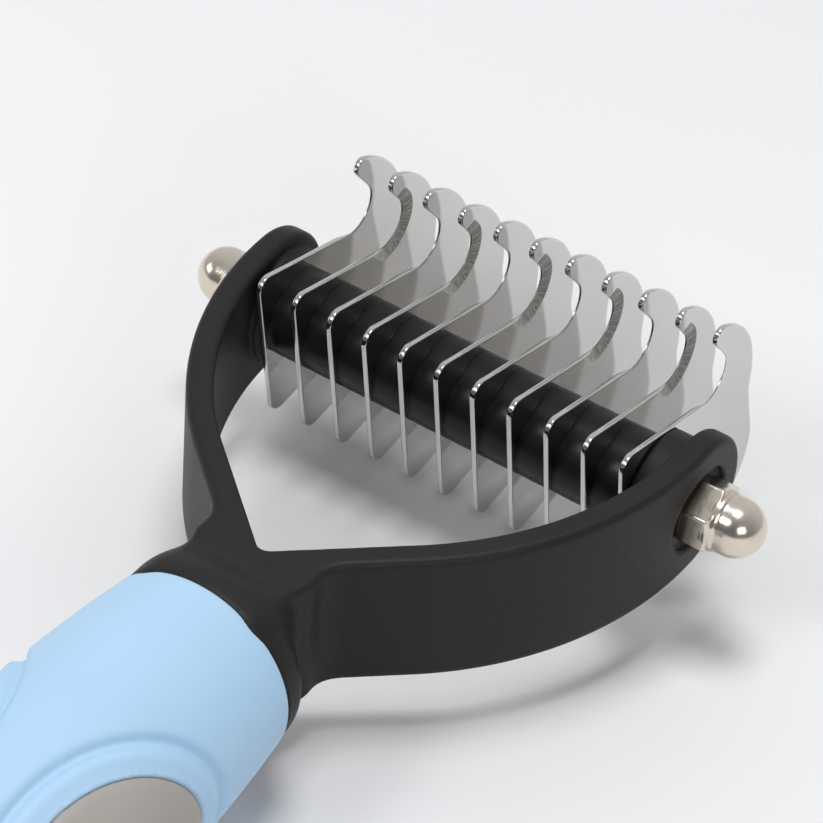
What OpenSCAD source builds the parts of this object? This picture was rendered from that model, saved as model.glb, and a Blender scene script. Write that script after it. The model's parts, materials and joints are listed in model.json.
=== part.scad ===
// Double-sided dematting rake: blue grip, black two-armed yoke and a clamped row of steel blades.
// It lies on a table at z = 0. +Y runs from the grip to the blades and X runs along the clamp rod.

/* [Blades] */
// Distance from one blade to the next
pitch = 6.5; // [6.3:0.1:6.6]
// Distance along the rod from the middle of the yoke to the middle of the row
row_x = -1.1; // [-1.5:0.1:1.5]
// Thickness of a blade
blade_t = 0.9; // [0.6:0.1:1.2]
// Lean of a blade's front edge from the upright
front_lean = 10.5; // [9:0.5:12]
// Fall of a blade's top edge towards the hook
top_fall = 15; // [14:0.5:16]
// Rise of a blade's bottom edge towards the lower hook
low_rise = 7.5; // [6:0.5:9]
// Radius of a blade's upper front corner
corner_r = 2.1; // [1.5:0.1:2.5]
// Radius of a blade's lower front corner
toe_r = 3; // [2.5:0.1:3.5]
// Radius of a hook's rounded tip
tip_r = 1.6; // [1.3:0.1:1.9]
// Radius of the back of the upper hook
hook_r = 20; // [19.5:0.1:20.5]
// Radius of the back of the lower hook
lobe_r = 11.5; // [11:0.1:12]
// Radius of the upper hook's throat
throat_r = 4.4; // [4.1:0.1:4.6]
// Radius of the lower hook's throat
low_throat_r = 2.6; // [2.2:0.1:2.9]

/* [Spacers, rod and nuts] */
// Radius of the spacers between the blades
spacer_r = 7.45; // [6:0.05:8]
// Radius of the clamp rod
rod_r = 3; // [2.5:0.1:3.2]
// Radial clearance round the rod
rod_gap = 0.05; // [0.02:0.01:0.1]
// Width of a cap nut across its flats
nut_af = 10; // [9.5:0.5:11]
// Height of a cap nut's hexagon
nut_hex_h = 5; // [4:0.5:6]
// Height of a cap nut
nut_h = 12; // [11:0.5:13]
// Radius of a cap nut's dome
dome_r = 4.7; // [4.2:0.1:4.8]
// How far the rod reaches into a cap nut
rod_grip = 8; // [6:0.5:8]

/* [Yoke] */
// Height of the yoke's arms
arm_h = 23.4; // [23:0.2:26]
// Thickness of the yoke's arms
arm_t = 4.2; // [3.5:0.1:5]
// Half of the width over the arms
arm_x = 40.3; // [40:0.1:42]
// Radius of an arm's outer curve
arm_curve_r = 59.6; // [58:0.2:61]
// Angle that an arm's curve turns through
arm_turn = 49; // [46:0.5:50]
// Radius of the fork between the arms
fork_r = 1.5; // [1:0.5:4]
// Radius of the fillet between an arm and the stem
root_r = 8; // [6:0.5:10]
// Half of the width of the stem
stem_x = 8.6; // [8:0.1:10]
// Radius of the clamping boss inside each arm
boss_r = 9.4; // [8:0.1:11.5]
// Radius of the seat for a cap nut
seat_r = 7; // [6.4:0.1:8]
// Depth of the seat for a cap nut
seat_d = 1.2; // [0.8:0.1:2]
// Radius of the collar in front of the grip
collar_r = 15.4; // [14.8:0.1:15.6]
// Length of the collar's straight part
collar_l = 1.5; // [1:0.5:3]
// Radius of the collar's shoulder
shoulder_r = 5; // [4:0.5:6]
// Length of the neck between the grip and the stem
neck_l = 12; // [11:0.5:14]
// Radius of the tang inside the grip
tang_r = 9; // [7:0.5:10]
// Distance from the rod to the end of the tang
tang_end = 146; // [130:1:148]

/* [Grip] */
// Distance from the rod to the front of the grip
grip_front = 70.5; // [70:0.1:73]
// Distance from the rod to the end of the grip
grip_end = 166.6; // [166:0.2:176]
// Radius of the grip at its widest
grip_r = 18; // [17:0.1:19]
// Radius of the grip at its front
grip_front_r = 15.9; // [15.7:0.1:16.5]
// Radius of the grip at its waist
waist_r = 15.3; // [14:0.1:16]
// Radius of the knob at the end of the grip
knob_r = 16; // [15:0.2:17]
// Radius of the grip's front lip
lip_r = 0.8; // [0.4:0.1:1.2]
// Radius of the hanging hole
hole_r = 4; // [3:0.5:4.5]
// Distance from the rod to the hanging hole
hole_y = 156; // [155:0.5:157]

/* [Thumb pads] */
// Distance from the rod to the middle of the pads
pad_y = 115; // [114:0.5:116]
// Half of the length of a pad
pad_l = 21.7; // [18:0.1:23]
// Angle that half of a pad reaches round the grip
pad_reach = 56.5; // [50:0.5:60]
// Height of a pad above the grip
pad_rise = 0.4; // [0.2:0.1:0.8]
// Depth of the pocket under a pad
pocket_d = 2; // [1.5:0.1:3]
// Half of the length of the groove round a pad
groove_l = 26.4; // [25:0.1:28]
// Angle that half of the groove reaches round the grip
groove_reach = 72; // [68:0.5:74]
// Width of the groove
groove_w = 1.8; // [1:0.1:2.5]
// Depth of the groove
groove_d = 1.1; // [0.6:0.1:1.5]

/* [Hidden] */
blade_count = 11;
eps = 1;
clamp_x = (blade_count - 1) / 2 * pitch + blade_t / 2;
nut_x = arm_x - seat_d;
bore_r = rod_r + rod_gap;
curve_x = arm_x - arm_curve_r;
fork_y = -(arm_curve_r - arm_t - fork_r + curve_x * cos(arm_turn)) / sin(arm_turn);
root_x = stem_x + root_r;
root_y = ((root_x - curve_x) * cos(arm_turn) - arm_curve_r - root_r) / sin(arm_turn);

// Middles of the round stretches of a blade, as [distance in front of the rod, height above it]
corner_c = [-8.1, 9.9];
throat_c = [15.4, 10.3];
hook_c = [9.8, 0.9];
lobe_c = [21.9, -14.5];
low_throat_c = [20.6, -18];
toe_c = [-2.6, -15.4];

// Directions in which the round stretches of a blade meet
throat_end = 39.5;
tip_end = 67.6;
hook_end = -2;
lobe_start = 17;
lobe_end = -105;
low_tip_end = -53;

// The hooks' tips run smoothly into their backs, and so does the notch between the two backs
notch_r = 9;
tip_c = hook_c + polar(hook_r - tip_r, tip_end);
notch_c = hook_c + polar(hook_r + notch_r, hook_end);
low_tip_c = lobe_c + polar(lobe_r - tip_r, lobe_end);

// Distances behind the rod of the grip's belly and waist, and the length of its front flare
belly_d = 105;
waist_d = 150;
flare_l = 33;

// Stretch of the grip that the thumb pads and their grooves lie in
pads_front = 80;
pads_back = 150;

// The rake rests on its lower hooks and on the knob of its grip, and this tilt lets both touch
knob_c = grip_end - knob_r / 2;
rest_run = lobe_c[0] + knob_c;
rest_drop = -lobe_c[1] - knob_r / 2;
rest_tilt = asin((lobe_r - knob_r / 2) / norm([rest_run, rest_drop])) + atan(rest_drop / rest_run);
rest_z = lobe_r - lobe_c[1] * cos(rest_tilt) - lobe_c[0] * sin(rest_tilt);
front_y = lobe_r + lobe_c[0] * cos(rest_tilt) - lobe_c[1] * sin(rest_tilt);
back_y = -knob_r / 2 - knob_c * cos(rest_tilt) - knob_r / 2 * sin(rest_tilt);
rest_y = -(front_y + back_y) / 2;

BLUE = [0.69, 0.83, 0.95];
GREY = [0.6, 0.58, 0.55];
BLACK = [0.11, 0.11, 0.12];
STEEL = [0.78, 0.78, 0.77];
NICKEL = [0.82, 0.79, 0.74];

function polar(r, a) = r * [cos(a), sin(a)];
function arc(c, r, a0, a1, n, first = 0) =
    [for (i = [first : n]) c + polar(r, a0 + (a1 - a0) * i / n)];
function flipped(p) = [for (i = [len(p) - 1 : -1 : 0]) [-p[i][0], p[i][1]]];
function blend(a, b, share) = a + (b - a) * (0.5 - 0.5 * cos(180 * share));
function two_digits(i) = str(i < 10 ? "0" : "", i);

// Side view of a blade, clockwise from its upper front corner; an arc that continues the one
// before it leaves out its first point
function blade_outline() = concat(
    arc(corner_c, corner_r, 180 + front_lean, 90 - top_fall, 6),
    arc(throat_c, throat_r, -90 - top_fall, throat_end, 12),
    arc(tip_c, tip_r, throat_end + 180, tip_end, 10),
    arc(hook_c, hook_r, tip_end, hook_end, 14, 1),
    arc(notch_c, notch_r, hook_end + 180, lobe_start + 180, 4, 1),
    arc(lobe_c, lobe_r, lobe_start, lobe_end, 18),
    arc(low_tip_c, tip_r, lobe_end, low_tip_end - 180, 9, 1),
    arc(low_throat_c, low_throat_r, low_tip_end, 90 + low_rise, 10),
    arc(toe_c, toe_r, low_rise - 90, front_lean - 180, 7));

// Radius of the grip at a distance d behind the rod
function swell(d) =
    d < belly_d ? grip_r - (grip_r - grip_front_r) * pow((belly_d - d) / flare_l, 2)
    : d < waist_d ? blend(grip_r, waist_r, (d - belly_d) / (waist_d - belly_d))
    : blend(waist_r, knob_r, (d - waist_d) / (knob_c - waist_d));

// Half section of the grip, as [radius, distance along Y]
function grip_section() = concat(
    [[0, -grip_front]],
    arc([grip_front_r - lip_r, -grip_front - lip_r], lip_r, 90, 0, 4),
    [for (d = [75 : 5 : 155]) [swell(d), -d]],
    arc([knob_r / 2, -knob_c], knob_r / 2, 0, -90, 10),
    [[0, -grip_end]]);

// Half section of the grip along the thumb pads only, grown or shrunk by g
function skin_section(g) = concat(
    [[0, -pads_front]],
    [for (d = [pads_front : 5 : pads_back]) [swell(d) + g, -d]],
    [[0, -pads_back]]);

// Side view of an oval on the grip that reaches the given angle round it
function oval(l, reach) =
    [for (a = [0 : 7.5 : 352.5]) [l * cos(a) - pad_y, swell(pad_y) * sin(reach * sin(a))]];

// Everything is drawn round the rod and then laid down on the table
module lay() {
    translate([0, rest_y, rest_z])
        rotate([rest_tilt, 0, 0])
            children();
}

module along_x(x) {
    translate([x, 0, 0])
        rotate([0, 90, 0])
            children();
}

module turned(section) {
    rotate([-90, 0, 0])
        rotate_extrude($fn = 96)
            polygon(section);
}

module side_slab(outline, x, len) {
    translate([x, 0, 0])
        rotate([90, 0, 90])
            linear_extrude(len)
                polygon(outline);
}

module blade(i) {
    x = row_x + (i - (blade_count + 1) / 2) * pitch;
    color(STEEL)
        lay()
            difference() {
                side_slab(blade_outline(), x - blade_t / 2, blade_t);
                along_x(x - eps)
                    cylinder(h = 2 * eps, r = bore_r, $fn = 48);
            }
}

module spacer(i) {
    len = pitch - blade_t;
    color(BLACK)
        lay()
            along_x(row_x + (i - (blade_count + 1) / 2) * pitch + blade_t / 2)
                difference() {
                    cylinder(h = len, r = spacer_r, $fn = 64);
                    translate([0, 0, -eps])
                        cylinder(h = len + 2 * eps, r = bore_r, $fn = 48);
                }
}

module clamp_rod() {
    color(STEEL)
        lay()
            along_x(0)
                cylinder(h = 2 * (nut_x + rod_grip), r = rod_r, center = true, $fn = 48);
}

// Cap nut standing on its seat, with a blind bore for the rod
module cap_nut() {
    hex_r = nut_af / 2 / cos(30);
    bevel = 0.7;
    undercut = 0.5;
    color(NICKEL)
        difference() {
            union() {
                intersection() {
                    cylinder(h = nut_hex_h, r = hex_r, $fn = 6);
                    rotate_extrude($fn = 64)
                        polygon([
                            [0, 0],
                            [nut_af / 2, 0],
                            [hex_r + 0.1, bevel],
                            [hex_r + 0.1, nut_hex_h - bevel],
                            [nut_af / 2, nut_hex_h],
                            [0, nut_hex_h]]);
                }
                rotate_extrude($fn = 64)
                    polygon(concat(
                        [[0, nut_hex_h - eps],
                            [dome_r - undercut, nut_hex_h - eps],
                            [dome_r - undercut, nut_hex_h + undercut],
                            [dome_r, nut_hex_h + 2 * undercut]],
                        arc([0, nut_h - dome_r], dome_r, 0, 90, 12)));
            }
            translate([0, 0, -eps])
                cylinder(h = rod_grip + eps + 0.4, r = bore_r, $fn = 48);
        }
}

module cap_nut_right() {
    lay()
        along_x(nut_x)
            cap_nut();
}

module cap_nut_left() {
    lay()
        mirror([1, 0, 0])
            along_x(nut_x)
                cap_nut();
}

// Plan of the arms and the stem, with the fork still filled in
module arm_plan() {
    half = concat(
        [[arm_x, arm_h]],
        arc([curve_x, 0], arm_curve_r, 0, -arm_turn, 14),
        arc([root_x, root_y], root_r, 180 - arm_turn, 180, 6),
        [[stem_x, -grip_front]]);
    polygon(concat(half, flipped(half)));
}

// Plan of the open space between the arms
module fork_plan() {
    half = concat(
        [[arm_x - arm_t, 2 * arm_h]],
        arc([curve_x, 0], arm_curve_r - arm_t, 0, -arm_turn, 14),
        arc([0, fork_y], fork_r, -arm_turn, -90, 4));
    polygon(concat(half, flipped(half)));
}

// Bar of the arms' height with a round end about the rod
module arm_envelope() {
    along_x(0)
        cylinder(h = 3 * arm_x, r = arm_h / 2, center = true, $fn = 96);
    translate([-1.5 * arm_x, -2 * grip_front, -arm_h / 2])
        cube([3 * arm_x, 2 * grip_front, arm_h]);
}

// Round neck that grows out of the arms and stops at the grip
module neck() {
    turned(concat(
        [[0, -grip_front], [collar_r, -grip_front]],
        arc([collar_r - shoulder_r, collar_l - grip_front], shoulder_r, 0, 60, 8),
        [[stem_x, neck_l - grip_front], [0, neck_l - grip_front]]));
}

module yoke_frame() {
    color(BLACK)
        lay()
            difference() {
                union() {
                    difference() {
                        union() {
                            intersection() {
                                translate([0, 0, -arm_h])
                                    linear_extrude(2 * arm_h)
                                        arm_plan();
                                arm_envelope();
                            }
                            neck();
                        }
                        translate([0, 0, -arm_h])
                            linear_extrude(2 * arm_h)
                                fork_plan();
                    }
                    for (side = [-1, 1])
                        along_x(side < 0 ? arm_t / 2 - arm_x : clamp_x + row_x)
                            cylinder(h = arm_x - arm_t / 2 - clamp_x - side * row_x, r = boss_r, $fn = 96);
                    rotate([90, 0, 0])
                        translate([0, 0, grip_front - eps])
                            cylinder(h = tang_end - grip_front + eps, r = tang_r, $fn = 64);
                }
                along_x(0)
                    cylinder(h = 3 * arm_x, r = bore_r, center = true, $fn = 48);
                for (s = [0, 1])
                    mirror([s, 0, 0])
                        along_x(nut_x)
                            cylinder(h = arm_x, r = seat_r, $fn = 64);
            }
}

// Ring round a thumb pad, cut into both sides of the grip
module pad_groove() {
    half_w = groove_w / 2;
    half_a = half_w / grip_r * 180 / PI;
    difference() {
        side_slab(oval(groove_l + half_w, groove_reach + half_a), -2 * grip_r, 4 * grip_r);
        side_slab(oval(groove_l - half_w, groove_reach - half_a), -2 * grip_r, 4 * grip_r);
        turned(skin_section(-groove_d));
    }
}

module grip_sleeve() {
    color(BLUE)
        lay()
            difference() {
                turned(grip_section());
                rotate([90, 0, 0])
                    translate([0, 0, grip_front - eps])
                        cylinder(h = tang_end - grip_front + eps, r = tang_r, $fn = 64);
                pad_groove();
                difference() {
                    side_slab(oval(pad_l, pad_reach), -2 * grip_r, 4 * grip_r);
                    turned(skin_section(-pocket_d));
                }
                translate([0, -hole_y, 0])
                    cylinder(h = 3 * grip_r, r = hole_r, center = true, $fn = 48);
            }
}

module thumb_pad(side) {
    color(GREY)
        lay()
            mirror([side == "left" ? 1 : 0, 0, 0])
                intersection() {
                    side_slab(oval(pad_l, pad_reach), eps, 2 * grip_r);
                    difference() {
                        turned(skin_section(pad_rise));
                        turned(skin_section(-pocket_d));
                    }
                }
}

yoke_frame();
grip_sleeve();
thumb_pad("left");  // thumb_pad_left
thumb_pad("right");  // thumb_pad_right
clamp_rod();
cap_nut_left();
cap_nut_right();
for (i = [1 : blade_count])
    blade(i);
for (i = [1 : blade_count - 1])
    spacer(i);
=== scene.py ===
"""Looks of a double-sided dematting rake: steel blades in a black yoke on a soft blue grip.

Shapes are drawn in millimetres round the clamp rod, with +X along it, +Y from grip to blades and +Z up,
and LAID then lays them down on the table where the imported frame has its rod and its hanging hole.
"""
import json
import math

import bpy
import numpy as np
from mathutils import Matrix, Vector
from mathutils.geometry import delaunay_2d_cdt


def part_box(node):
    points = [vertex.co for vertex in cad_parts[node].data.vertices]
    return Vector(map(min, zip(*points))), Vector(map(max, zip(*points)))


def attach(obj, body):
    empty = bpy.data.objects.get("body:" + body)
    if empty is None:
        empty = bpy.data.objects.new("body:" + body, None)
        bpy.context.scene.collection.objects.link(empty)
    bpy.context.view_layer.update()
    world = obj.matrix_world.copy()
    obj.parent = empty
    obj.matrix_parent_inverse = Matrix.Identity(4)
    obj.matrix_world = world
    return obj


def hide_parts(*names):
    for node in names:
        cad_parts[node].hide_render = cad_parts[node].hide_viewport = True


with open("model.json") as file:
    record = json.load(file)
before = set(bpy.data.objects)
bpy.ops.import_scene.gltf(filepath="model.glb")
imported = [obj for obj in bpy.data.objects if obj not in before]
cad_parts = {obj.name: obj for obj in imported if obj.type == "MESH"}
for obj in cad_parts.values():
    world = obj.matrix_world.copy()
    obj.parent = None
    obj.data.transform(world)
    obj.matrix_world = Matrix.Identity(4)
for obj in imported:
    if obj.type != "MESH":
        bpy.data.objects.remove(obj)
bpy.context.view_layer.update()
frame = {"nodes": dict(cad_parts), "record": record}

MM = 0.001
BODY = "root"

# ---------------------------------------------------------------- dimensions, in millimetres and degrees

BLADE_COUNT = 11
PITCH = 6.5
ROW_X = -1.1           # where the row's middle is along the rod
BLADE_T = 0.9
BORE_R = 3.05
EDGE_R = 0.22          # rounding of a blade's edges
FLAT_RIM = 0.15        # width of the flat strip of faces inside the rounding
GRIND_W = 2.0          # width of the ground bevel in a throat
GRIND_D = 0.72         # how much of the blade's thickness the bevel takes
GRIND_FADE = 1.1       # length over which a bevel ends under the hook
GRIND_RUN_OUT = 4.5    # length over which it runs out along the straight edge
GRIND_FROM_HOOK = 1.6  # how far under the hook a bevel starts
GRIND_FROM_EDGE = 0.8  # how far up the straight edge it stops

SPACER_R = 7.45
SPACER_EDGE_R = 0.05
SPACER_CROWN = 0.04    # how much thinner a spacer is at its ends, in radius
SPACER_RIM = 0.3       # width of the ring of faces round a spacer's bore

ARM_X = 40.3           # outer face of an arm at the rod
ARM_T = 4.2
ARM_H = 23.4
ARM_CURVE_R = 59.6
ARM_TURN = 49          # angle that an arm's curve turns through
ARM_EDGE_R = 1.15
FORK_R = 1.5
STEM_X = 8.6           # half of the stem's width
ROOT_R = 8             # fillet between an arm and the stem
BOSS_R = 9.4
SEAT_R = 7
SEAT_D = 1.2
COLLAR_R = 15.4
COLLAR_L = 1.5
SHOULDER_R = 5
NECK_L = 12            # from the grip to the arms' stem
NECK_BLEND_R = 5
COLLAR_EDGE_R = 0.3    # small roundings and fillets of the yoke
BOSS_EDGE_R = 0.4
BOSS_BLEND_R = 0.5
TANG_EDGE_R = 0.4
SEAT_EDGE_R = 0.3
BORE_EDGE_R = 0.15
TANG_R = 9
TANG_END = 146
YOKE_STEP = 0.5        # size of the yoke's mesh cells

NUT_AF = 10
NUT_HEX_H = 5
NUT_H = 12
DOME_R = 4.7
NUT_CHAMFER = 28       # lean of the chamfers on the hexagon's corners
NUT_EDGE_R = 0.25      # rounding of the hexagon's corners
NUT_RING_W = 0.25      # how far the ring under the dome stands out
NUT_RING_H = 0.55      # half of the ring's height
NUT_FACE_R = 0.2       # rounding of the hexagon's and the ring's ends
NUT_CHAMFER_R = 0.12
NUT_MOUTH_R = 0.1
NUT_BLEND_R = 0.25     # fillet between hexagon and ring
DOME_BLEND_R = 0.45    # fillet between ring and dome
NUT_CAP_T = 3.6        # from the end of the bore to the top of the dome
NUT_STEP = 0.17        # size of a nut's mesh cells

GRIP_FRONT = 70.5
GRIP_END = 166.6
GRIP_R = 18
GRIP_FRONT_R = 15.9
WAIST_R = 15.3
KNOB_R = 16
LIP_R = 0.8
FLARE_L = 33
BELLY_D = 105
WAIST_D = 150
HOLE_R = 4
HOLE_D = 156
HOLE_EDGE_R = 0.8
TUNNEL_EDGE_R = 0.2    # rounding of the tang's bore
GRIP_STEP = 0.45       # size of the grip's mesh cells

PAD_D = 115            # middle of the thumb pads, behind the rod
PAD_L = 21.7
PAD_REACH = 56.5
PAD_RISE = 0.4
PAD_GAP = 0.12         # visible joint between a pad and the grip
POCKET = 1.3           # depth of the visible pocket wall
POCKET_WALL = 0.35     # width over which the wall goes down
GROOVE_L = 26.4
GROOVE_REACH = 72
GROOVE_W = 1.8
GROOVE_DEPTH = 1.0
RIDGE_RISE = 0.25      # soft ridge inside the groove
RIDGE_W = 1.1
RIDGE_IN = 2.2         # from the groove to the ridge
PAD_EDGE_R = 0.6       # rounding of a pad's edge

# ---------------------------------------------------------------- placing and mesh building

rod_low, rod_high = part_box("clamp_rod")
HANG_AXIS = Vector(frame["record"]["mounts"][0]["axis"])
ROD_MIDDLE = (rod_low + rod_high) / 2
TILT = Vector((0, 0, 1)).rotation_difference(HANG_AXIS).to_matrix()
LAID = Matrix.Translation(ROD_MIDDLE) @ TILT.to_4x4() @ Matrix.Scale(MM, 4)


def laid(points):
    """The points, drawn round the rod in millimetres, as they lie on the table in metres."""
    turn = np.array(LAID.to_3x3())
    return np.asarray(points, float) @ turn.T + np.array(LAID.translation)


def piece(name, points, faces, materials, nodes, flat=(), kinds=None, uv=None):
    """Makes a mesh that rides on the rake and stands for CAD nodes.

    flat lists the faces that aren't shaded smooth, kinds gives each face's material, and uv each
    vertex's place along and across its edge."""
    mesh = bpy.data.meshes.new(name)
    mesh.from_pydata(laid(points), [], faces)
    smooth = np.ones(len(mesh.polygons), bool)
    smooth[list(flat)] = False
    mesh.polygons.foreach_set("use_smooth", smooth)
    for material in materials:
        mesh.materials.append(material)
    if kinds is not None:
        mesh.polygons.foreach_set("material_index", np.asarray(kinds, np.int32))
    if uv is not None:
        layer = mesh.uv_layers.new(name="edge")
        corners = np.zeros(len(mesh.loops), np.int32)
        mesh.loops.foreach_get("vertex_index", corners)
        layer.data.foreach_set("uv", np.asarray(uv, np.float32)[corners].ravel())
    mesh.validate()
    mesh.update()
    made = bpy.data.objects.new(name, mesh)
    bpy.context.scene.collection.objects.link(made)
    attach(made, BODY)
    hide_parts(*nodes)
    return made


def polar(r, a):
    return r * np.array([math.cos(math.radians(a)), math.sin(math.radians(a))])


def arc(centre, r, a0, a1, n, first=0):
    """Points of an arc; one that continues the arc before it leaves out its first point."""
    return [np.array(centre) + polar(r, a0 + (a1 - a0) * i / n) for i in range(first, n + 1)]


def ramp(t):
    """0 to 1 with soft ends as t goes from 0 to 1."""
    t = np.clip(t, 0, 1)
    return t * t * (3 - 2 * t)


# ---------------------------------------------------------------- solids as distance fields

def join(a, b, r):
    """Union with a fillet of radius r."""
    return np.maximum(r, np.minimum(a, b)) - np.hypot(np.maximum(r - a, 0), np.maximum(r - b, 0))


def meet(a, b, r):
    """Intersection with its edges rounded to radius r."""
    return np.minimum(-r, np.maximum(a, b)) + np.hypot(np.maximum(r + a, 0), np.maximum(r + b, 0))


def onto(field, points, step, rounds=4):
    """Moves points onto the surface field = 0, by at most half a step at a time."""
    h = 0.02
    least_slope = 0.05
    for _ in range(rounds):
        value = field(*points.T)
        slope = np.stack(
            [(field(*(points + h * e).T) - field(*(points - h * e).T)) / (2 * h) for e in np.eye(3)], 1)
        move = slope * (value / np.maximum((slope ** 2).sum(1), least_slope))[:, None]
        length = np.linalg.norm(move, axis=1, keepdims=True)
        points = points - move * np.minimum(1, 0.5 * step / np.maximum(length, 1e-9))
    return points


def surface(field, low, high, step, relax=2):
    """Points and quads of the surface field = 0 inside a box: one point in each cell it crosses."""
    axes = [np.arange(a, b + step, step) for a, b in zip(low, high)]
    value = field(*np.meshgrid(*axes, indexing="ij"))
    inside = value < 0
    corners = [(i, j, k) for i in (0, 1) for j in (0, 1) for k in (0, 1)]
    nx, ny, nz = (n - 1 for n in value.shape)
    held = sum(inside[i:i + nx, j:j + ny, k:k + nz].astype(np.int8) for i, j, k in corners)
    cells = np.argwhere((held > 0) & (held < 8))
    number = np.full((nx, ny, nz), -1)
    number[tuple(cells.T)] = np.arange(len(cells))
    at_corner = {c: value[tuple((cells + c).T)] for c in corners}
    total = np.zeros((len(cells), 3))
    count = np.zeros(len(cells))
    for a in corners:
        for axis in range(3):
            if a[axis]:
                continue
            b = tuple(a[i] + (i == axis) for i in range(3))
            va, vb = at_corner[a], at_corner[b]
            cut = (va < 0) != (vb < 0)
            share = va[cut] / (va[cut] - vb[cut])
            total[cut] += np.array(a) + share[:, None] * (np.array(b) - a)
            count[cut] += 1
    points = np.array(low) + step * (cells + total / count[:, None])
    quads = []
    for axis in range(3):
        a, b = (axis + 1) % 3, (axis + 2) % 3
        first = np.moveaxis(inside, axis, 0)[:-1]
        last = np.moveaxis(inside, axis, 0)[1:]
        where = np.argwhere(np.moveaxis(first != last, 0, axis))
        where = where[(where[:, a] > 0) & (where[:, b] > 0)]
        ea, eb = np.eye(3, dtype=int)[a], np.eye(3, dtype=int)[b]
        around = [number[tuple((where - e).T)] for e in (ea + eb, eb, 0 * ea, ea)]
        ring = np.stack(around, 1)
        outward = inside[tuple(where.T)]
        quads.append(np.where(outward[:, None], ring, ring[:, ::-1]))
    quads = np.concatenate(quads)
    points = onto(field, points, step)
    for _ in range(relax):
        pull = np.zeros_like(points)
        seen = np.zeros(len(points))
        for i in range(4):
            np.add.at(pull, quads[:, i], points[quads].mean(1))
            np.add.at(seen, quads[:, i], 1)
        points = onto(field, pull / seen[:, None], step)
    return points, quads.tolist()


# ---------------------------------------------------------------- materials

def material(name, **values):
    """A material whose Principled shader has the given constant values."""
    made = bpy.data.materials.new(name)
    made.use_nodes = True
    shader = made.node_tree.nodes["Principled BSDF"]
    for socket, value in values.items():
        shader.inputs[socket.replace("_", " ")].default_value = value
    return made, made.node_tree, shader


def place(tree, stretch=(1, 1, 1)):
    """Object coordinates, stretched along each axis."""
    coordinates = tree.nodes.new("ShaderNodeTexCoord")
    mapping = tree.nodes.new("ShaderNodeMapping")
    mapping.inputs["Scale"].default_value = stretch
    tree.links.new(coordinates.outputs["Object"], mapping.inputs["Vector"])
    return mapping.outputs["Vector"]


def noise(tree, where, scale, detail=4, roughness=0.55):
    """Soft noise from 0 to 1."""
    node = tree.nodes.new("ShaderNodeTexNoise")
    node.inputs["Scale"].default_value = scale
    node.inputs["Detail"].default_value = detail
    node.inputs["Roughness"].default_value = roughness
    tree.links.new(where, node.inputs["Vector"])
    return node.outputs["Fac"]


def spread(tree, value, low, high, start=0.3, end=0.7):
    """Maps value from start..end to low..high."""
    node = tree.nodes.new("ShaderNodeMapRange")
    node.inputs["From Min"].default_value = start
    node.inputs["From Max"].default_value = end
    node.inputs["To Min"].default_value = low
    node.inputs["To Max"].default_value = high
    tree.links.new(value, node.inputs["Value"])
    return node.outputs["Result"]


def tint(tree, value, first, second):
    """Mixes two colours by value."""
    node = tree.nodes.new("ShaderNodeMix")
    node.data_type = "RGBA"
    node.inputs["A"].default_value = (*first, 1)
    node.inputs["B"].default_value = (*second, 1)
    tree.links.new(value, node.inputs["Factor"])
    return node.outputs["Result"]


def bump(tree, shader, height, depth, strength):
    """Raises the surface by height times depth, in metres."""
    node = tree.nodes.new("ShaderNodeBump")
    node.inputs["Distance"].default_value = depth
    node.inputs["Strength"].default_value = strength
    tree.links.new(height, node.inputs["Height"])
    tree.links.new(node.outputs["Normal"], shader.inputs["Normal"])


def moulded_black():
    """Fine spark-eroded texture of a matte black moulding."""
    made, tree, shader = material("moulded_black", Specular_IOR_Level=0.2)
    where = place(tree)
    grain = noise(tree, where, 2600, 3, 0.6)
    cloud = noise(tree, where, 90, 3)
    colour = tint(tree, cloud, (0.012, 0.0117, 0.0117), (0.017, 0.0167, 0.0167))
    tree.links.new(colour, shader.inputs["Base Color"])
    tree.links.new(spread(tree, grain, 0.42, 0.56), shader.inputs["Roughness"])
    bump(tree, shader, grain, 0.00004, 0.5)
    return made


def soft_rubber(name, light, dark, grain_scale, sheen):
    """Soft-touch rubber with a faint grain and a dusty sheen."""
    made, tree, shader = material(name, Specular_IOR_Level=0.35, Sheen_Weight=sheen, Sheen_Roughness=0.45)
    where = place(tree)
    grain = noise(tree, where, grain_scale, 4, 0.65)
    cloud = noise(tree, where, 60, 4)
    tree.links.new(tint(tree, spread(tree, cloud, 0, 1), dark, light), shader.inputs["Base Color"])
    tree.links.new(spread(tree, grain, 0.50, 0.66), shader.inputs["Roughness"])
    bump(tree, shader, grain, 0.00005, 0.35)
    return made


def satin_plate():
    """Rolled stainless sheet: nearly a mirror, with faint lines along the blade."""
    made, tree, shader = material("satin_plate", Metallic=1.0)
    lines = noise(tree, place(tree, (1, 60, 900)), 14, 3)
    cloud = noise(tree, place(tree), 140, 3)
    tree.links.new(tint(tree, cloud, (0.56, 0.55, 0.535), (0.62, 0.61, 0.595)), shader.inputs["Base Color"])
    tree.links.new(spread(tree, lines, 0.045, 0.085), shader.inputs["Roughness"])
    bump(tree, shader, lines, 0.000002, 0.4)
    return made


def polished_edge():
    """Tumbled, bright edge of a blade."""
    made, tree, shader = material("polished_edge", Metallic=1.0)
    cloud = noise(tree, place(tree), 700, 3)
    tree.links.new(tint(tree, cloud, (0.58, 0.57, 0.555), (0.70, 0.69, 0.67)), shader.inputs["Base Color"])
    tree.links.new(spread(tree, cloud, 0.07, 0.15), shader.inputs["Roughness"])
    return made


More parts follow.
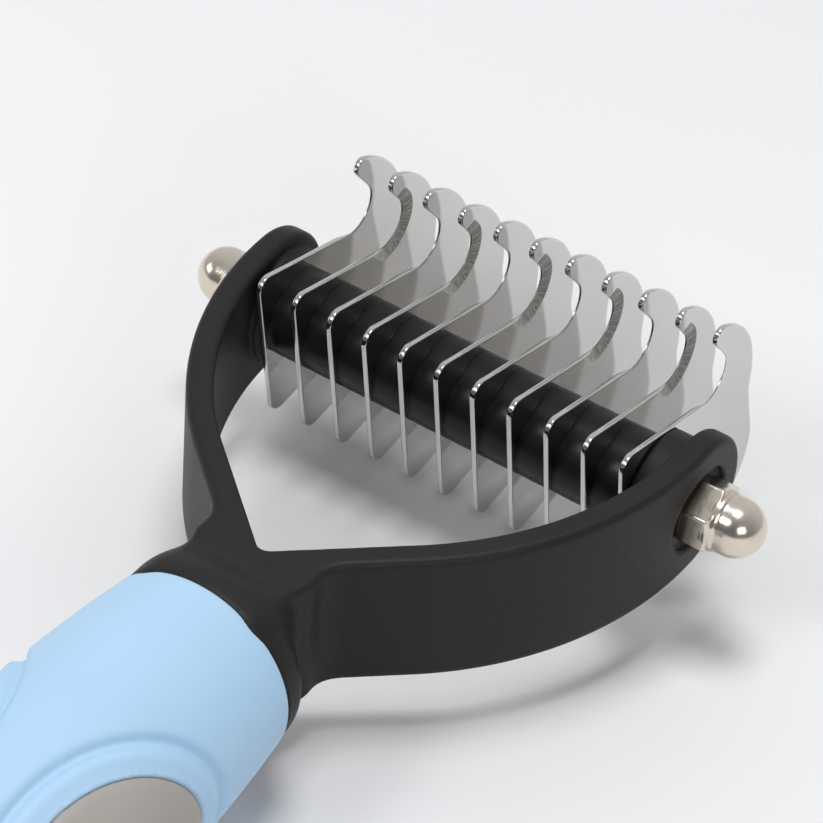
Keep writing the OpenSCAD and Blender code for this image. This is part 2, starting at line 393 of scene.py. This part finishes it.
def ground_bevel_and_painted_glints():
    """Coarse grinding lines across a sharpened edge, coloured from dark grey to near-white: real lines, with
    painted glints and painted shade in their colour.
    """
    made, tree, shader = material("ground_bevel_and_painted_glints", Metallic=1.0)
    along = tree.nodes.new("ShaderNodeUVMap")
    along.uv_map = "edge"
    mapping = tree.nodes.new("ShaderNodeMapping")
    mapping.inputs["Scale"].default_value = (13, 0.4, 1)
    tree.links.new(along.outputs["UV"], mapping.inputs["Vector"])
    lines = noise(tree, mapping.outputs["Vector"], 1, 5, 0.75)
    # painted highlight and shade: the streaks' colour swings from dark grey to near-white along the grinding
    # lines
    colour = tint(tree, spread(tree, lines, 0, 1, 0.4, 0.6), (0.22, 0.21, 0.195), (1, 0.98, 0.94))
    tree.links.new(colour, shader.inputs["Base Color"])
    tree.links.new(spread(tree, lines, 0.30, 0.5), shader.inputs["Roughness"])
    bump(tree, shader, lines, 0.00012, 0.7)
    return made


def glossy_black():
    """Smooth glossy moulding with faint flow marks."""
    made, tree, shader = material("glossy_black", Specular_IOR_Level=0.2)
    cloud = noise(tree, place(tree), 260, 4)
    colour = tint(tree, cloud, (0.007, 0.007, 0.007), (0.013, 0.0125, 0.012))
    tree.links.new(colour, shader.inputs["Base Color"])
    tree.links.new(spread(tree, cloud, 0.26, 0.36), shader.inputs["Roughness"])
    bump(tree, shader, cloud, 0.00003, 0.3)
    return made


def nickel():
    """Warm nickel plate with a light orange peel."""
    made, tree, shader = material("nickel", Metallic=1.0)
    peel = noise(tree, place(tree), 420, 3)
    fine = noise(tree, place(tree), 2500, 2)
    tree.links.new(tint(tree, peel, (0.69, 0.615, 0.52), (0.77, 0.705, 0.61)), shader.inputs["Base Color"])
    tree.links.new(spread(tree, fine, 0.16, 0.23), shader.inputs["Roughness"])
    bump(tree, shader, peel, 0.00004, 0.25)
    return made


def turned_steel():
    """Plain drawn rod, with fine lines round it."""
    made, tree, shader = material("turned_steel", Metallic=1.0)
    lines = noise(tree, place(tree, (1400, 1, 1)), 2, 3)
    tree.links.new(tint(tree, lines, (0.50, 0.49, 0.47), (0.60, 0.59, 0.57)), shader.inputs["Base Color"])
    tree.links.new(spread(tree, lines, 0.25, 0.4), shader.inputs["Roughness"])
    return made


BLACK = moulded_black()
BLUE = soft_rubber("blue_rubber", (0.40, 0.60, 0.80), (0.385, 0.585, 0.785), 1500, 0.12)
GREY = soft_rubber("grey_rubber", (0.37, 0.345, 0.32), (0.345, 0.32, 0.295), 1900, 0.08)
PLATE = satin_plate()
EDGE = polished_edge()
GROUND = ground_bevel_and_painted_glints()
GLOSS = glossy_black()
NICKEL = nickel()
ROD = turned_steel()

# ---------------------------------------------------------------- blades

CORNER_C, CORNER_R = (-8.1, 9.9), 2.1
THROAT_C, THROAT_R = (15.4, 10.3), 4.4
TIP_R = 1.6
HOOK_C, HOOK_R = (9.8, 0.9), 20
NOTCH_R = 9
LOBE_C, LOBE_R = (21.9, -14.5), 11.5
LOW_THROAT_C, LOW_THROAT_R = (20.6, -18), 2.6
TOE_C, TOE_R = (-2.6, -15.4), 3
FRONT_LEAN, TOP_FALL, LOW_RISE = 10.5, 15, 7.5
THROAT_END, TIP_END, HOOK_END, LOBE_START, LOBE_END, LOW_TIP_END = 39.5, 67.6, -2, 17, -105, -53
LINE_PARTS = 48        # parts that a blade's long straight edges are cut into
LINE_GROUND = 10       # how many of them, next to a throat, can be ground
FACE, RIM, CUT = range(3)  # which of a blade's materials a face has


def between(a, b, n):
    """The points that cut a straight edge into n equal parts."""
    return [a + (b - a) * i / n for i in range(1, n)]


def blade_outline():
    """Side view of a blade, clockwise, and the stretches of it that are ground: from the straight edge
    round the throat to the hook's tip above, and the other way round below."""
    tip_c = HOOK_C + polar(HOOK_R - TIP_R, TIP_END)
    notch_c = HOOK_C + polar(HOOK_R + NOTCH_R, HOOK_END)
    low_tip_c = LOBE_C + polar(LOBE_R - TIP_R, LOBE_END)
    corner = arc(CORNER_C, CORNER_R, 180 + FRONT_LEAN, 90 - TOP_FALL, 16)
    throat = arc(THROAT_C, THROAT_R, -90 - TOP_FALL, THROAT_END, 44)
    tip = arc(tip_c, TIP_R, THROAT_END + 180, TIP_END, 24)
    low_tip = arc(low_tip_c, TIP_R, LOBE_END, LOW_TIP_END - 180, 24, 1)
    low_throat = arc(LOW_THROAT_C, LOW_THROAT_R, LOW_TIP_END, 90 + LOW_RISE, 32)
    toe = arc(TOE_C, TOE_R, LOW_RISE - 90, FRONT_LEAN - 180, 20)
    stretches = [
        corner,
        between(corner[-1], throat[0], LINE_PARTS)[LINE_PARTS - LINE_GROUND:] + throat
        + between(throat[-1], tip[0], 12),
        tip,
        arc(HOOK_C, HOOK_R, TIP_END, HOOK_END, 48, 1),
        arc(notch_c, NOTCH_R, HOOK_END + 180, LOBE_START + 180, 12, 1),
        arc(LOBE_C, LOBE_R, LOBE_START, LOBE_END, 54),
        low_tip,
        between(low_tip[-1], low_throat[0], 12) + low_throat
        + between(low_throat[-1], toe[0], LINE_PARTS)[:LINE_GROUND],
        toe]
    starts = np.cumsum([0] + [len(s) for s in stretches])
    throats = [(starts[i], starts[i + 1] - 1) for i in (1, 7)]
    return np.array([p for s in stretches for p in s]), throats


def blade(i):
    """A blade: two flat plates, rounded polished edges, a bore, and both throats ground on one side."""
    outline, throats = blade_outline()
    n = len(outline)
    along = np.roll(outline, -1, 0) - np.roll(outline, 1, 0)
    along /= np.linalg.norm(along, axis=1, keepdims=True)
    inward = np.stack([along[:, 1], -along[:, 0]], 1)
    steps = np.linalg.norm(np.roll(outline, -1, 0) - outline, axis=1)
    length = np.concatenate([[0], np.cumsum(steps)[:-1]])
    ground = np.zeros(n)
    hook_end, edge_end = (GRIND_FROM_HOOK, GRIND_FADE), (GRIND_FROM_EDGE, GRIND_RUN_OUT)
    for (first, last), start, stop in zip(throats, (edge_end, hook_end), (hook_end, edge_end)):
        rise = ramp((length - length[first] - start[0]) / start[1])
        ground = np.maximum(ground, rise * ramp((length[last] - stop[0] - length) / stop[1]))
    side = 1 if i % 2 == 0 else -1
    half = BLADE_T / 2
    quarter = [polar(EDGE_R, a) for a in (0, 22.5, 45, 67.5, 90)]
    plain = [(half, EDGE_R + FLAT_RIM)] + [(half - EDGE_R + out, EDGE_R - up) for out, up in quarter]
    blunt = [(0.08, 0.16), (0.03, 0.07), (0, 0.03), (-0.02, 0)]  # the bevel's thin end, a little rounded
    cut = [(half, GRIND_W + FLAT_RIM), (half, GRIND_W)] + [(half - GRIND_D + x, y) for x, y in blunt]
    rings = []
    for near, far in zip(plain, cut):
        rings.append((side * (near[0] + (far[0] - near[0]) * ground), near[1] + (far[1] - near[1]) * ground))
    for near in reversed(plain):
        rings.append((-side * near[0] * np.ones(n), near[1] * np.ones(n)))
    if side < 0:
        rings.reverse()
    grind_band = 1 if side > 0 else len(rings) - 3
    points, uv, faces, kinds, flat = [], [], [], [], []
    for x, inset in rings:
        yz = outline + inward * inset[:, None]
        points += np.column_stack([x, yz]).tolist()
        uv += np.column_stack([length, inset]).tolist()
    for r in range(len(rings) - 1):
        for a in range(n):
            b = (a + 1) % n
            is_ground = r == grind_band and ground[a] > 0.02 and ground[b] > 0.02
            if is_ground:
                flat.append(len(faces))
            faces.append((r * n + a, r * n + b, (r + 1) * n + b, (r + 1) * n + a))
            kinds.append(CUT if is_ground else RIM)
    bore = np.array(arc((0, 0), BORE_R, 0, -352.5, 47))
    bore_at = len(points)
    for x in (half, -half):
        points += np.column_stack([np.full(len(bore), x), bore]).tolist()
        uv += np.zeros((len(bore), 2)).tolist()
    m = len(bore)
    for a in range(m):
        b = (a + 1) % m
        faces.append((bore_at + b, bore_at + a, bore_at + m + a, bore_at + m + b))
        kinds.append(RIM)
    for ring, holes, turned in ((0, bore_at, False), ((len(rings) - 1) * n, bore_at + m, True)):
        outer = list(range(ring, ring + n))
        inner = list(range(holes, holes + m))
        for face in plate_faces(points, outer, inner):
            flat.append(len(faces))
            faces.append(face[::-1] if turned else face)
            kinds.append(FACE)
    points = np.array(points) + [ROW_X + (i - (BLADE_COUNT + 1) / 2) * PITCH, 0, 0]
    name = f"blade_{i:02d}"
    return piece(f"look_{name}", points, faces, (PLATE, EDGE, GROUND), [name], flat, kinds, uv)


def plate_faces(points, outer, inner):
    """Triangles between an outline and a bore, which look along +X."""
    numbers = outer + inner
    flat_points = [Vector(points[k][1:]) for k in numbers]
    n, m = len(outer), len(inner)
    edges = [(a, (a + 1) % n) for a in range(n)] + [(n + a, n + (a + 1) % m) for a in range(m)]
    made = delaunay_2d_cdt(flat_points, edges, [], 2, 1e-7)
    back = [origins[0] for origins in made[3]]
    faces = []
    for triangle in made[2]:
        a, b, c = (made[0][k] for k in triangle)
        middle = (a + b + c) / 3
        if middle.length < BORE_R * 0.98:
            continue
        order = triangle if (b - a).cross(c - a) > 0 else triangle[::-1]
        faces.append(tuple(numbers[back[k]] for k in order))
    return faces


# ---------------------------------------------------------------- spacers, rod and nuts

def turned_ring(profile, x, sides=96):
    """Points and faces of a closed ring: its profile, as (distance along X, radius), turned about X."""
    n = len(profile)
    points, faces = [], []
    for k in range(sides):
        turn = polar(1, 360 * k / sides)
        points += [(x + at, r * turn[0], r * turn[1]) for at, r in profile]
        for j in range(n):
            a, b = k * n + j, k * n + (j + 1) % n
            c, d = (a + n) % (n * sides), (b + n) % (n * sides)
            faces.append((a, b, d, c))
    return points, faces


def spacer(i):
    """A round spacer between two blades, with slightly rounded rims and a faint crown."""
    long = PITCH - BLADE_T
    e = SPACER_EDGE_R
    rims = [(e - e * math.sin(math.radians(a)), SPACER_R - e + e * math.cos(math.radians(a)))
            for a in range(0, 91, 15)]
    crown = [(long * t, SPACER_CROWN * (1 - (2 * t - 1) ** 2)) for t in np.arange(1, 16) / 16]
    profile = [(at, r - SPACER_CROWN) for at, r in reversed(rims)]
    profile += [(at, SPACER_R - SPACER_CROWN + rise) for at, rise in crown]
    profile += [(long - at, r - SPACER_CROWN) for at, r in rims]
    rim_r = BORE_R + SPACER_RIM
    profile = [(0, BORE_R), (0, rim_r)] + profile + [(long, rim_r), (long, BORE_R)]
    points, faces = turned_ring(profile, ROW_X + (i - (BLADE_COUNT + 1) / 2) * PITCH + BLADE_T / 2)
    name = f"spacer_{i:02d}"
    return piece(f"look_{name}", points, faces, (GLOSS,), [name])


def nut_field(side):
    """Domed nut on its seat: chamfered hexagon, a thin ring, and a dome on a short waist."""
    seat = ARM_X - SEAT_D

    def field(x, y, z):
        up = side * x - seat
        r = np.hypot(y, z)
        turns = [np.abs(y * math.cos(math.radians(a)) + z * math.sin(math.radians(a))) for a in (0, 60, 120)]
        walls = [turn - NUT_AF / 2 for turn in turns]
        hexagon = meet(meet(walls[0], walls[1], NUT_EDGE_R), walls[2], NUT_EDGE_R)
        hexagon = meet(hexagon, np.abs(up - NUT_HEX_H / 2) - NUT_HEX_H / 2, NUT_FACE_R)
        lean = math.radians(NUT_CHAMFER)
        for top in (up - NUT_HEX_H, -up):
            cone = (r - NUT_AF / 2) * math.sin(lean) + top * math.cos(lean)
            hexagon = meet(hexagon, cone, NUT_CHAMFER_R)
        ring = meet(r - DOME_R - NUT_RING_W, np.abs(up - NUT_HEX_H) - NUT_RING_H, NUT_FACE_R)
        shoulder = NUT_H - DOME_R
        dome = np.where(up > shoulder, np.sqrt(r ** 2 + np.maximum(up - shoulder, 0) ** 2), r) - DOME_R
        dome = meet(dome, NUT_HEX_H - 1 - up, NUT_MOUTH_R)
        body = join(join(hexagon, ring, NUT_BLEND_R), dome, DOME_BLEND_R)
        bore = meet(r - BORE_R, up - (NUT_H - NUT_CAP_T), NUT_MOUTH_R)
        return meet(body, -bore, NUT_MOUTH_R)

    return field


def cap_nut(name, side):
    """A domed nut in its seat, on one end of the rod."""
    seat = ARM_X - SEAT_D
    ends = sorted((side * (seat - 0.5), side * (seat + NUT_H + 0.5)))
    reach = NUT_AF * 0.62
    points, faces = surface(nut_field(side), (ends[0], -reach, -reach), (ends[1], reach, reach), NUT_STEP)
    return piece(f"look_{name}", points, faces, (NICKEL,), [name])


# ---------------------------------------------------------------- yoke

def past_wall(x, y, r):
    """How far a point in plan is outside the right arm's curve of radius r: straight past the rod, then an
    arc, then a line."""
    turn = math.radians(ARM_TURN)
    across = x - (ARM_X - ARM_CURVE_R)
    line = across * math.cos(turn) - y * math.sin(turn)
    bend = np.where(-y * math.cos(turn) > across * math.sin(turn), line, np.hypot(across, y))
    return np.where(y > 0, across, bend) - r


def yoke_plan(x, y):
    """Plan of the arms and the stem: what the outer walls hold, less the fork."""
    inner_r = ARM_CURVE_R - ARM_T
    held = np.maximum(past_wall(x, y, ARM_CURVE_R), past_wall(-x, y, ARM_CURVE_R))
    stem = meet(np.abs(x) - STEM_X, y + GRIP_FRONT - NECK_L, 0)
    fork = meet(past_wall(x, y, inner_r), past_wall(-x, y, inner_r), FORK_R)
    return meet(join(held, stem, ROOT_R), -fork, 0)


def yoke_field(x, y, z):
    """Arms, bosses, neck, collar and tang, less the rod's bore and the nuts' seats."""
    r = np.hypot(y, z)
    height = np.hypot(np.maximum(y, 0), z) - ARM_H / 2
    arms = meet(yoke_plan(x, y), height, ARM_EDGE_R)
    round_neck = np.hypot(x, z)
    shoulder = y + GRIP_FRONT - COLLAR_L
    dome = np.hypot(np.maximum(round_neck - COLLAR_R + SHOULDER_R, 0), shoulder) - SHOULDER_R
    neck = meet(np.where(shoulder > 0, dome, round_neck - COLLAR_R), -GRIP_FRONT - y, COLLAR_EDGE_R)
    body = join(arms, neck, NECK_BLEND_R)
    row_end = (BLADE_COUNT - 1) / 2 * PITCH + BLADE_T / 2
    past_boss = np.maximum(row_end - np.abs(x - ROW_X), np.abs(x) - ARM_X + ARM_T / 2)
    body = join(body, meet(r - BOSS_R, past_boss, BOSS_EDGE_R), BOSS_BLEND_R)
    from_middle = np.abs(y + (TANG_END + GRIP_FRONT) / 2)
    tang = meet(round_neck - TANG_R, from_middle - (TANG_END - GRIP_FRONT) / 2 - 1, TANG_EDGE_R)
    body = np.minimum(body, tang)
    body = meet(body, -np.maximum(r - SEAT_R, ARM_X - SEAT_D - np.abs(x)), SEAT_EDGE_R)
    return meet(body, BORE_R - r, BORE_EDGE_R)


def yoke():
    """The black moulding."""
    low = (-ARM_X - 1, -TANG_END - 1, -COLLAR_R - 1)
    high = (ARM_X + 1, ARM_H / 2 + 1, COLLAR_R + 1)
    points, faces = surface(yoke_field, low, high, YOKE_STEP)
    return piece("look_yoke_frame", points, faces, (BLACK,), ["yoke_frame"])


# ---------------------------------------------------------------- grip and thumb pads

def wave(t):
    """0 to 1 along half a cosine wave as t goes from 0 to 1."""
    return 0.5 - 0.5 * np.cos(np.pi * np.clip(t, 0, 1))


def swell(d):
    """Radius of the grip at a distance d behind the rod."""
    front = GRIP_R - (GRIP_R - GRIP_FRONT_R) * ((BELLY_D - d) / FLARE_L) ** 2
    middle = GRIP_R + (WAIST_R - GRIP_R) * wave((d - BELLY_D) / (WAIST_D - BELLY_D))
    back = WAIST_R + (KNOB_R - WAIST_R) * wave((d - WAIST_D) / (GRIP_END - KNOB_R / 2 - WAIST_D))
    return np.where(d < BELLY_D, front, np.where(d < WAIST_D, middle, back))


def off_oval(d, angle, half_l, reach):
    """Distance along the grip's skin from an oval round a thumb pad, negative inside it."""
    u = (d - PAD_D) / half_l
    v = angle / reach
    rho = np.maximum(np.hypot(u, v), 1e-6)
    mm_per_degree = GRIP_R * math.pi / 180
    slope = np.hypot(u / half_l, v / (reach * mm_per_degree)) / rho
    return (rho - 1) / np.maximum(slope, 0.02)


def skin(d, angle):
    """Radius of the grip's surface: its swell and the pads' ridges, less their grooves and pockets."""
    groove = off_oval(d, angle, GROOVE_L, GROOVE_REACH)
    pad = off_oval(d, angle, PAD_L, PAD_REACH)
    trough = GROOVE_DEPTH * np.exp(-(groove / (GROOVE_W * 0.52)) ** 2)
    ridge = RIDGE_RISE * np.exp(-((groove + RIDGE_IN) / RIDGE_W) ** 2)
    pocket = POCKET * ramp((PAD_GAP - pad) / POCKET_WALL)
    return swell(d) - trough + ridge - pocket


def grip_field(x, y, z):
    """The grip, less the tang's bore and the hanging hole."""
    d = -y
    r = np.hypot(x, z)
    angle = np.degrees(np.arctan2(np.abs(z), np.abs(x)))
    side = (r - skin(d, angle)) * 0.9
    end_r = KNOB_R / 2
    knob = np.hypot(np.maximum(r - end_r, 0), d - GRIP_END + end_r) - end_r
    body = np.where(d > GRIP_END - end_r, knob, side)
    body = meet(body, GRIP_FRONT - d, LIP_R)
    body = meet(body, -meet(r - TANG_R, d - TANG_END, 0), TUNNEL_EDGE_R)
    return meet(body, HOLE_R - np.hypot(x, d - HOLE_D), HOLE_EDGE_R)


def grip():
    """The blue sleeve."""
    reach = GRIP_R + 1.5
    low, high = (-reach, -GRIP_END - 1, -reach), (reach, 1 - GRIP_FRONT, reach)
    points, faces = surface(grip_field, low, high, GRIP_STEP)
    return piece("look_grip_sleeve", points, faces, (BLUE,), ["grip_sleeve"])


def thumb_pad(name, side):
    """A crowned pad with a soft rim, sunk in its pocket: rings from the middle out, then back beneath."""
    around = 128
    centre, edge = 0.04, 0.9
    rings = [(share, 0) for share in np.linspace(centre, edge, 20)]
    for a in range(10, 91, 10):
        sink, out = 1 - math.cos(math.radians(a)), math.sin(math.radians(a))
        rings.append((edge + (1 - edge) * out, PAD_EDGE_R * sink))
    rings += [(1, POCKET), (edge, POCKET + 0.05), (0.5, POCKET + 0.05), (centre, POCKET + 0.05)]
    points, faces = [], []
    for share, sink in rings:
        for k in range(around):
            t = 2 * math.pi * k / around
            d = PAD_D + PAD_L * share * math.cos(t)
            angle = math.radians(PAD_REACH * share * math.sin(t))
            r = float(swell(d)) + PAD_RISE * (1 - share ** 4) - sink
            points.append((side * r * math.cos(angle), -d, r * math.sin(angle)))
    top, bottom = len(points), len(points) + 1
    points.append((side * (float(swell(PAD_D)) + PAD_RISE), -PAD_D, 0))
    points.append((side * (float(swell(PAD_D)) + PAD_RISE - POCKET), -PAD_D, 0))
    last = (len(rings) - 1) * around
    for k in range(around):
        b = (k + 1) % around
        faces.append((top, k, b))
        for j in range(len(rings) - 1):
            faces.append((j * around + k, (j + 1) * around + k, (j + 1) * around + b, j * around + b))
        faces.append((bottom, last + b, last + k))
    if side > 0:
        faces = [f[::-1] for f in faces]
    return piece(f"look_{name}", points, faces, (GREY,), [name])


# ---------------------------------------------------------------- the rake

for number in range(1, BLADE_COUNT + 1):
    blade(number)
for number in range(1, BLADE_COUNT):
    spacer(number)
cap_nut("cap_nut_left", -1)
cap_nut("cap_nut_right", 1)
yoke()
grip()
thumb_pad("thumb_pad_left", -1)
thumb_pad("thumb_pad_right", 1)
rod = frame["nodes"]["clamp_rod"]
rod.data.materials.clear()
rod.data.materials.append(ROD)

# ---------------------------------------------------------------- floor, light and camera

def floor():
    """A pale matte table top, wide enough to fill every view from above, in metres."""
    made, tree, shader = material("floor", Specular_IOR_Level=0.2)
    cloud = noise(tree, place(tree), 6, 3)
    tree.links.new(tint(tree, cloud, (0.80, 0.80, 0.81), (0.83, 0.83, 0.84)), shader.inputs["Base Color"])
    tree.links.new(spread(tree, cloud, 0.5, 0.6), shader.inputs["Roughness"])
    half = 2.5
    corners = [(-half, -half, 0), (half, -half, 0), (half, half, 0), (-half, half, 0)]
    mesh = bpy.data.meshes.new("floor")
    mesh.from_pydata(corners, [], [(0, 1, 2, 3)])
    mesh.materials.append(made)
    top = bpy.data.objects.new("floor", mesh)
    bpy.context.scene.collection.objects.link(top)


def soft_box(name, place_mm, size_mm, watts):
    """A rectangular soft light that looks at the rod's middle."""
    light = bpy.data.lights.new(name, "AREA")
    light.shape = "RECTANGLE"
    light.size, light.size_y = size_mm[0] * MM, size_mm[1] * MM
    light.energy = watts
    made = bpy.data.objects.new(name, light)
    made.location = ROD_MIDDLE + Vector(place_mm) * MM
    made.rotation_euler = (ROD_MIDDLE - made.location).to_track_quat("-Z", "Y").to_euler()
    bpy.context.scene.collection.objects.link(made)


def studio():
    """A room that is bright behind the blades and dark towards the viewer, and four soft lights."""
    world = bpy.data.worlds.new("studio")
    bpy.context.scene.world = world
    world.use_nodes = True
    tree = world.node_tree
    sky = tree.nodes["Background"]
    sky.inputs["Color"].default_value = (0.97, 0.98, 1, 1)
    direction = tree.nodes.new("ShaderNodeTexCoord")
    facing = tree.nodes.new("ShaderNodeVectorMath")
    facing.operation = "DOT_PRODUCT"
    facing.inputs[1].default_value = (-0.3, 0.85, 0.3)
    tree.links.new(direction.outputs["Generated"], facing.inputs[0])
    tree.links.new(spread(tree, facing.outputs["Value"], 0.16, 0.69, -0.6, 0.9), sky.inputs["Strength"])
    soft_box("key", (0, -30, 1100), (350, 350), 6.0)
    soft_box("front", (-280, -700, 700), (250, 250), 2.2)
    soft_box("side", (-900, -450, 350), (500, 300), 1.0)
    soft_box("right", (650, -520, 420), (400, 300), 1.6)
    bpy.context.scene.view_settings.view_transform = "Standard"


def camera():
    """Looks down at the blades from the right of the grip, with the picture turned a little."""
    turn, down, roll = (math.radians(a) for a in (29.08, 39.23, 7.18))
    distance = 537.1
    aim = Vector((-5.98 + ROW_X, -5.97, -2.83))
    look = Vector((-math.sin(turn) * math.cos(down), math.cos(turn) * math.cos(down), -math.sin(down)))
    level = look.cross(Vector((0, 0, 1))).normalized()
    right = level * math.cos(roll) + level.cross(look) * math.sin(roll)
    up = right.cross(look)
    data = bpy.data.cameras.new("camera")
    data.lens = 153.76
    data.sensor_width = 36
    data.clip_start = 0.01
    made = bpy.data.objects.new("camera", data)
    turned = Matrix((right, up, -look)).transposed().to_4x4()
    made.matrix_world = Matrix.Translation(ROD_MIDDLE + (aim - look * distance) * MM) @ turned
    bpy.context.scene.collection.objects.link(made)
    bpy.context.scene.camera = made


floor()
studio()
camera()
